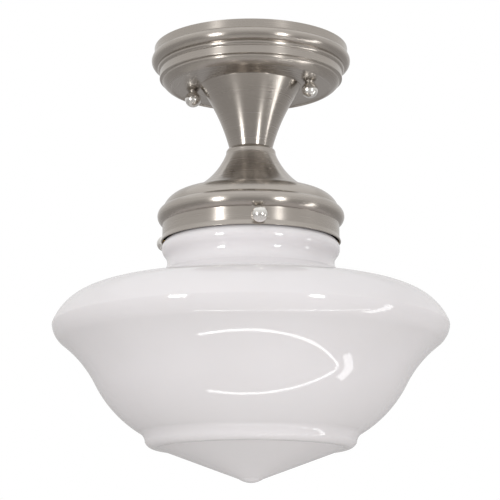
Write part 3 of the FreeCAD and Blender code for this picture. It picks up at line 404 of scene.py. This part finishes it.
# The three thumb screws, whose tips reach under the glass rim and carry the shade: brass turned
# with a ball head on a collar, polished and nickel plated like the ball nuts.
THUMB_SCREW = [(0, 60.9), (1.65, 60.9), (2.05, 61.3), (2.05, 68.4), (3.2, 68.4), (3.2, 69.81),
               (6.1, 75.0, 0, 81.1)]
for name, turn in SCREWS.items():
    screw = turned_ball(THUMB_SCREW)
    aim = (Matrix.Translation((0, 0, SCREW_Z * MM)) @ Matrix.Rotation(math.radians(turn), 4, "Z")
           @ Matrix.Rotation(math.radians(90), 4, "Y"))
    bmesh.ops.transform(screw, matrix=aim, verts=screw.verts)
    put_together(f"thumb_screw_{name}_ball", screw, bright_nickel, f"thumb_screw_{name}",
                 f"thumb_screw_{name}")


# The lampholder: a drawn brass cap threaded on the pipe, over a glazed porcelain body. The glaze
# is warm white and glossy, with a slow ripple and fine pinholes where it ran in the kiln.
dress(brass_finish("drawn_brass", 0.012), "lampholder_cap")
porcelain, tree, place = open_finish("glazed_porcelain")
ripple = add(tree, "TexNoise", {"Vector": place, "Scale": 1 / 0.009, "Detail": 2.0}).outputs[0]
pinholes = add(tree, "TexVoronoi", {"Vector": place, "Scale": 1 / 0.0035}).outputs[0]
pits = add(tree, "MapRange", {"Value": pinholes, "From Min": 0.04, "From Max": 0.10}).outputs[0]
height = add(tree, "Math", {0: ripple, 1: pits}, operation="ADD").outputs[0]
tint = add(tree, "Mix", {0: ripple, 6: linear("#E6E1D6"), 7: linear("#F1EEE7")}, data_type="RGBA")
rough = add(tree, "MapRange", {"Value": ripple, "To Min": 0.08, "To Max": 0.20})
relief = add(tree, "Bump", {"Height": height, "Strength": 0.25, "Distance": 0.00008})
glaze = add(tree, "BsdfPrincipled", {"Base Color": tint.outputs[2], "Roughness": rough.outputs[0],
                                     "IOR": 1.52, "Coat Weight": 0.4, "Coat Roughness": 0.05,
                                     "Normal": relief.outputs[0]})
add(tree, "OutputMaterial", {"Surface": glaze.outputs[0]})
dress(porcelain, "lampholder_body")


# The screw shell inside the porcelain, with the centre contact and the two terminal screws: thin
# rolled brass. The shell's thread has seven turns to the inch, 3.63 mm apart.
LAMP_THREAD = 0.00363
dress(threaded("rolled_brass_thread", LAMP_THREAD, "#DDBC76", "#8A6A36", 0.24),
      "lampholder_shell")
dress(brass_finish("stamped_brass", 0.002), "lampholder_contact", "terminal_screws")


# The two leads through the pipe, from the terminals to their connectors: stranded wire in black
# and white PVC, 2.2 mm thick, with the soft gloss and slight waves of extruded insulation.
def insulation(name, dark, light):
    """Extruded PVC with a faint bloom and the waves that the extruder leaves."""
    finish, tree, place = open_finish(name)
    bloom = add(tree, "TexNoise", {"Vector": place, "Scale": 1 / 0.005, "Detail": 4.0}).outputs[0]
    waves = add(tree, "TexNoise", {"Vector": place, "Scale": 1 / 0.0012, "Detail": 2.0}).outputs[0]
    tint = add(tree, "Mix", {0: bloom, 6: linear(dark), 7: linear(light)}, data_type="RGBA")
    rough = add(tree, "MapRange", {"Value": bloom, "To Min": 0.32, "To Max": 0.50})
    relief = add(tree, "Bump", {"Height": waves, "Strength": 0.2, "Distance": 0.00004})
    skin = add(tree, "BsdfPrincipled", {"Base Color": tint.outputs[2], "IOR": 1.53,
                                        "Roughness": rough.outputs[0],
                                        "Normal": relief.outputs[0]})
    add(tree, "OutputMaterial", {"Surface": skin.outputs[0]})
    return finish


dress(insulation("black_pvc", "#141416", "#232326"), "lead_black")
dress(insulation("white_pvc", "#D9D6CF", "#EAE8E2"), "lead_white")


# The two twist-on connectors on the leads' ends: orange polypropylene, moulded with sixteen grip
# ribs along each shell and the dull, slightly mottled skin that the mould leaves.
LEAD_Z, RIBS = -13.0, 16.0
orange, tree, place = open_finish("moulded_polypropylene")
parts = add(tree, "SeparateXYZ", {0: place})
level = add(tree, "Math", {0: parts.outputs[2], 1: -LEAD_Z * MM}, operation="ADD").outputs[0]
angle = add(tree, "Math", {0: level, 1: parts.outputs[0]}, operation="ARCTAN2").outputs[0]
turns = add(tree, "Math", {0: angle, 1: RIBS}, operation="MULTIPLY").outputs[0]
ribs = add(tree, "Math", {0: turns}, operation="SINE").outputs[0]
mottle = add(tree, "TexNoise", {"Vector": place, "Scale": 1 / 0.002, "Detail": 4.0}).outputs[0]
tint = add(tree, "Mix", {0: mottle, 6: linear("#C96F1E"), 7: linear("#E08A34")}, data_type="RGBA")
rough = add(tree, "MapRange", {"Value": mottle, "To Min": 0.42, "To Max": 0.60})
relief = add(tree, "Bump", {"Height": ribs, "Strength": 0.7, "Distance": 0.0003})
skin = add(tree, "BsdfPrincipled", {"Base Color": tint.outputs[2], "IOR": 1.49,
                                    "Roughness": rough.outputs[0], "Normal": relief.outputs[0]})
add(tree, "OutputMaterial", {"Surface": skin.outputs[0]})
dress(orange, "wire_connectors")


# The shade: a schoolhouse globe of opal glass, blown into a mould 3 mm thick, whose ground rim
# rests on the thumb screws' tips. Its neck has a ring, and its foot a ledge and a blunt cone.
# Opal glass is milky right through and fire polished, so its white has soft edges under a sharp,
# slightly wavering gloss, and it greys a little where the wall is seen edge on.
opal, tree, place = open_finish("fire_polished_opal_glass")
blown = add(tree, "TexNoise", {"Vector": place, "Scale": 1 / 0.045, "Detail": 1.5}).outputs[0]
milk = add(tree, "TexNoise", {"Vector": place, "Scale": 1 / 0.08, "Detail": 3.0}).outputs[0]
dust = add(tree, "TexNoise", {"Vector": place, "Scale": 1 / 0.002, "Detail": 4.0}).outputs[0]
tint = add(tree, "Mix", {0: milk, 6: linear("#DEDBDC"), 7: linear("#E6E3E5")}, data_type="RGBA")
rough = add(tree, "MapRange", {"Value": dust, "From Min": 0.3, "From Max": 0.8,
                               "To Min": 0.03, "To Max": 0.10})
relief = add(tree, "Bump", {"Height": blown, "Strength": 0.25, "Distance": 0.0006})
glass = add(tree, "BsdfPrincipled", {"Base Color": tint.outputs[2], "Roughness": rough.outputs[0],
                                     "IOR": 1.5, "Subsurface Weight": 0.35,
                                     "Subsurface Radius": (1.0, 0.95, 0.9),
                                     "Subsurface Scale": 0.004, "Normal": relief.outputs[0]},
            subsurface_method="RANDOM_WALK")
add(tree, "OutputMaterial", {"Surface": glass.outputs[0]})

GLASS_WALL, GLASS_SEGMENTS = 3.0, 192
SHADE = [(60.6, -146.65), (60.6, -152.25), (62.4, -152.9), (68.2, -159.0, 66.2, -166.0),
         (64.2, -172.4, 68.6, -179.4), (86.0, -187.2, 109.2, -194.0),
         (139.6, -204.2, 150.8, -220.4), (148.6, -228.2, 143.6, -234.0),
         (128.0, -249.2, 117.1, -266.2), (105.4, -283.2, 85.0, -300.6),
         (81.6, -303.2, 79.6, -308.6), (76.8, -311.8, 70.4, -312.8), (9.0, -335.6),
         (4.5, -337.75, 0, -338.4)]
RIM = [(60.6, -146.65), (63.4, -146.65), (63.4, -139.75), (57.6, -139.75), (57.6, -146.65)]
skin = outline(SHADE, 0.2)
inside = inner_face(skin, GLASS_WALL)
inside[-1, 0] = 0.0
rim = outline(RIM, 0.2)
whole = np.concatenate([skin[::-1], rim[1:-1], inside])
blank = lathe(thinned(eased(whole, 1.0, True), 4.0, 3.5), GLASS_SEGMENTS, True)
put_together("opal_shade", blank, opal, "shade", "shade")


# The lamp in the holder: a 60 mm globe of soda glass frosted inside, cemented into an aluminium
# screw base with black glass round its soldered contact.
frosted, tree, place = open_finish("inside_frosted_glass")
etched = add(tree, "TexNoise", {"Vector": place, "Scale": 1 / 0.0015, "Detail": 5.0}).outputs[0]
tint = add(tree, "Mix", {0: etched, 6: linear("#EFEEE9"), 7: linear("#FAFAF7")}, data_type="RGBA")
rough = add(tree, "MapRange", {"Value": etched, "To Min": 0.28, "To Max": 0.42})
relief = add(tree, "Bump", {"Height": etched, "Strength": 0.1, "Distance": 0.00003})
globe = add(tree, "BsdfPrincipled", {"Base Color": tint.outputs[2], "Roughness": rough.outputs[0],
                                     "IOR": 1.5, "Transmission Weight": 0.6,
                                     "Normal": relief.outputs[0]})
add(tree, "OutputMaterial", {"Surface": globe.outputs[0]})
dress(frosted, "bulb_glass")
dress(threaded("rolled_aluminium_thread", LAMP_THREAD, "#C9CACA", "#8D8E90", 0.26), "bulb_base")

vitrite, tree, place = open_finish("black_vitrite_glass")
seeds = add(tree, "TexNoise", {"Vector": place, "Scale": 1 / 0.001, "Detail": 3.0}).outputs[0]
tint = add(tree, "Mix", {0: seeds, 6: linear("#121217"), 7: linear("#26262E")}, data_type="RGBA")
rough = add(tree, "MapRange", {"Value": seeds, "To Min": 0.08, "To Max": 0.2})
relief = add(tree, "Bump", {"Height": seeds, "Strength": 0.15, "Distance": 0.00004})
black = add(tree, "BsdfPrincipled", {"Base Color": tint.outputs[2], "Roughness": rough.outputs[0],
                                     "IOR": 1.5, "Normal": relief.outputs[0]})
add(tree, "OutputMaterial", {"Surface": black.outputs[0]})
dress(vitrite, "bulb_insulator")

solder, tree, place = open_finish("tin_solder")
flow = add(tree, "TexNoise", {"Vector": place, "Scale": 1 / 0.0015, "Detail": 2.0}).outputs[0]
tint = add(tree, "Mix", {0: flow, 6: linear("#A9A9A4"), 7: linear("#CBCAC4")}, data_type="RGBA")
rough = add(tree, "MapRange", {"Value": flow, "To Min": 0.25, "To Max": 0.45})
relief = add(tree, "Bump", {"Height": flow, "Strength": 0.5, "Distance": 0.0002})
metal = add(tree, "BsdfPrincipled", {"Base Color": tint.outputs[2], "Metallic": 1.0,
                                     "Roughness": rough.outputs[0], "Normal": relief.outputs[0]})
add(tree, "OutputMaterial", {"Surface": metal.outputs[0]})
dress(solder, "bulb_contact")


# The room round the lamp: a pale floor 2.2 m below, where a room has it, and a wall all round
# that fades from grey up to white, which lights and is mirrored but isn't seen by the camera.
FLOOR_Z = -2.2
WALL_RADIUS = 2.7
WALL_TOP = 2.3
FADE_FROM, FADE_TO = -0.8, 0.95
pale, tree, place = open_finish("pale_matt_floor")
mottle = add(tree, "TexNoise", {"Vector": place, "Scale": 1 / 0.15, "Detail": 4.0}).outputs[0]
tint = add(tree, "Mix", {0: mottle, 6: linear("#E9E8E6"), 7: linear("#EEEDEB")}, data_type="RGBA")
matt = add(tree, "BsdfPrincipled", {"Base Color": tint.outputs[2], "Roughness": 0.9})
add(tree, "OutputMaterial", {"Surface": matt.outputs[0]})
floor = bpy.data.objects.new("studio_floor", bpy.data.meshes.new("studio_floor"))
sheet = bmesh.new()
bmesh.ops.create_grid(sheet, x_segments=1, y_segments=1, size=30.0,
                      matrix=Matrix.Translation((0, 0, FLOOR_Z)))
sheet.to_mesh(floor.data)
sheet.free()
floor.data.materials.append(pale)
bpy.context.scene.collection.objects.link(floor)

# The wall glows instead of being lit: its emission, grey low down and white higher up, is painted
# light standing in for a lit grey paper wall.
grey, tree, place = open_finish("glowing_grey_wall")
fade = add(tree, "SeparateXYZ", {0: place})
share = add(tree, "MapRange", {"Value": fade.outputs[2], "From Min": FADE_FROM,
                               "From Max": FADE_TO}, interpolation_type="SMOOTHSTEP")
tint = add(tree, "Mix", {0: share.outputs[0], 6: linear("#B0AEAD"), 7: linear("#E6E5E4")},
           data_type="RGBA")
glow = add(tree, "Emission", {"Color": tint.outputs[2], "Strength": 1.0})
add(tree, "OutputMaterial", {"Surface": glow.outputs[0]})
wall = bpy.data.objects.new("studio_wall", bpy.data.meshes.new("studio_wall"))
ring = bmesh.new()
bmesh.ops.create_cone(ring, cap_ends=False, segments=64, radius1=WALL_RADIUS, radius2=WALL_RADIUS,
                      depth=WALL_TOP - FLOOR_Z,
                      matrix=Matrix.Translation((0, 0, (WALL_TOP + FLOOR_Z) / 2)))
ring.to_mesh(wall.data)
ring.free()
wall.data.materials.append(grey)
wall.visible_camera = False
bpy.context.scene.collection.objects.link(wall)

world = bpy.data.worlds.new("white_studio")
bpy.context.scene.world = world
world.use_nodes = True
tree = world.node_tree
tree.nodes.clear()
ray = add(tree, "LightPath")
mirrored = add(tree, "Math", {0: ray.outputs["Is Camera Ray"], 1: ray.outputs["Is Glossy Ray"]},
               operation="MAXIMUM").outputs[0]
seen = add(tree, "Math", {0: mirrored, 1: ray.outputs["Is Transmission Ray"]},
           operation="MAXIMUM").outputs[0]
ambient = add(tree, "Background", {"Color": (1, 1, 1, 1), "Strength": 0.95})
white = add(tree, "Background", {"Color": (1, 1, 1, 1), "Strength": 1.0})
both = add(tree, "MixShader", {0: seen, 1: ambient.outputs[0], 2: white.outputs[0]})
add(tree, "OutputWorld", {"Surface": both.outputs[0]})


# The lamps: two tall soft boxes either side of the camera and a third at the right, whose
# reflections are the streaks and dashes, and a long tube below, which the glass shows as a hook.
VIEW_TURN = -74.3
AIM = Vector((0, 0, -0.17))


def soft_box(name, turn, rise, far, wide, tall, level):
    """A soft box, turn degrees to the camera's right and rise degrees up, as bright as level."""
    light = bpy.data.lights.new(name, "AREA")
    light.shape, light.size, light.size_y = "RECTANGLE", wide, tall
    light.energy = level * math.pi * wide * tall
    box = bpy.data.objects.new(name, light)
    round_z, up = math.radians(VIEW_TURN + turn), math.radians(rise)
    way = Vector((math.cos(up) * math.cos(round_z), math.cos(up) * math.sin(round_z), math.sin(up)))
    box.location = AIM + way * far
    box.rotation_euler = way.to_track_quat("Z", "Y").to_euler()
    box.visible_camera = False
    bpy.context.scene.collection.objects.link(box)


soft_box("left_box", -39, -2, 1.6, 0.27, 0.50, 19.0)
soft_box("right_box", 35, -5, 1.6, 0.22, 0.46, 17.0)
soft_box("far_right_box", 81, -26, 1.6, 0.17, 1.0, 5.0)

TUBE_DROP, TUBE_OUT, TUBE_LEFT, TUBE_RIGHT, TUBE_TURN = -1.3, 0.354, -0.45, 1.75, 3.9
TUBE_WIDE, TUBE_LEVEL = 0.045, 8.0
tube = bpy.data.lights.new("long_tube", "AREA")
tube.shape, tube.size, tube.size_y = "RECTANGLE", TUBE_RIGHT - TUBE_LEFT, TUBE_WIDE
tube.energy = TUBE_LEVEL * math.pi * tube.size * tube.size_y
tube_at = bpy.data.objects.new("long_tube", tube)
facing = (Matrix.Rotation(math.radians(VIEW_TURN + 90), 4, "Z")
          @ Matrix.Translation((0, -TUBE_OUT, TUBE_DROP))
          @ Matrix.Rotation(math.radians(-TUBE_TURN), 4, "Z"))
tube_at.matrix_world = (facing @ Matrix.Translation(((TUBE_LEFT + TUBE_RIGHT) / 2, 0, 0))
                        @ Matrix.Rotation(math.pi, 4, "X"))
tube_at.visible_camera = False
bpy.context.scene.collection.objects.link(tube_at)


# The camera stands low and to the left of the strap's square view, 1.3 m away, and looks up.
CAMERA_FAR, CAMERA_Z, LOOK_UP, LOOK_ASIDE = 1.317, -0.4316, 11.63, 0.03
FOCAL_PIXELS, FRAME_PIXELS = 1750, 500
lens = bpy.data.cameras.new("camera")
lens.sensor_width = 36.0
lens.lens = lens.sensor_width * FOCAL_PIXELS / FRAME_PIXELS
lens.clip_start, lens.clip_end = 0.05, 100.0
camera = bpy.data.objects.new("camera", lens)
camera.location = (CAMERA_FAR * math.cos(math.radians(VIEW_TURN)),
                   CAMERA_FAR * math.sin(math.radians(VIEW_TURN)), CAMERA_Z)
camera.rotation_euler = (math.radians(90 + LOOK_UP), 0,
                         math.radians(VIEW_TURN + 90 + LOOK_ASIDE))
bpy.context.scene.collection.objects.link(camera)
bpy.context.scene.camera = camera
bpy.context.scene.view_settings.view_transform = "Standard"
